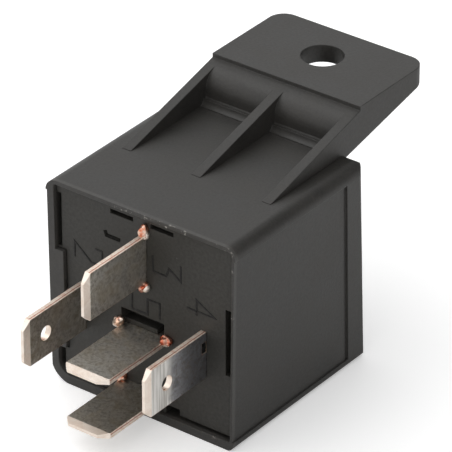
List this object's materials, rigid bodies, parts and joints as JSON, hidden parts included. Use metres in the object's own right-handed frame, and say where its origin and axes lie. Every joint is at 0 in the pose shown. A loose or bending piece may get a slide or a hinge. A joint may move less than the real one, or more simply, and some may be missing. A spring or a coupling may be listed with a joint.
{
  "type": "automotive relay",
  "caption": "Plug-in automotive relay: black moulded cover with a ribbed mounting bracket, flat blade terminals on its base, and a coil, yoke, armature and change-over contacts inside.",
  "frame": {"origin": "centre of the base's seating face, level with the middle of the cover", "axes": "-Y out along the blades, +Y towards the closed end and the bracket's tip, +Z towards the side that carries the bracket, +X to the right seen from the blades"},
  "size_m": [0.028, 0.0533, 0.0329],
  "materials": {
    "cover_plastic": "fine moulded grain, satin",
    "base_plastic": "moulded, matt",
    "blade_metal": "dull tin plate, bare at the cut edges",
    "magnet_steel": "zinc plated",
    "bobbin_plastic": "natural nylon",
    "winding_copper": "enamelled wire",
    "winding_tape": "amber film",
    "spring_bronze": "rolled strip",
    "bright_metal": "bright",
    "contact_silver": "silver alloy, satin",
    "braid_copper": "bare braided copper",
    "resistor_body": "lacquered"
  },
  "bodies": {
    "relay": {"cover": "cover_plastic", "cover_bracket": "cover_plastic", "base": "base_plastic", "terminal_common": "blade_metal", "terminal_normally_closed": "blade_metal", "terminal_normally_open": "blade_metal", "terminal_coil_left": "blade_metal", "terminal_coil_right": "blade_metal", "yoke": "magnet_steel", "core": "magnet_steel", "bobbin": "bobbin_plastic", "coil_winding": "winding_copper", "coil_tape": "winding_tape", "coil_leads": "winding_copper", "fixed_contact_open": "contact_silver", "fixed_contact_closed": "contact_silver", "return_spring": "bright_metal", "current_braid": "braid_copper", "suppression_resistor": "resistor_body"},
    "armature": {"armature": "magnet_steel", "contact_spring": "spring_bronze", "spring_rivets": "bright_metal", "moving_contact": "contact_silver"}
  },
  "joints": [
    {"name": "armature_pull_in", "type": "hinge", "parent": "relay", "child": "armature", "pos_m": [0, 0.01841, 0.0105], "axis": [-1, 0, 0], "range_deg": [0, 2.5], "stiffness_Nm_per_rad": 0.05, "springref_deg": -11.46}
  ]
}
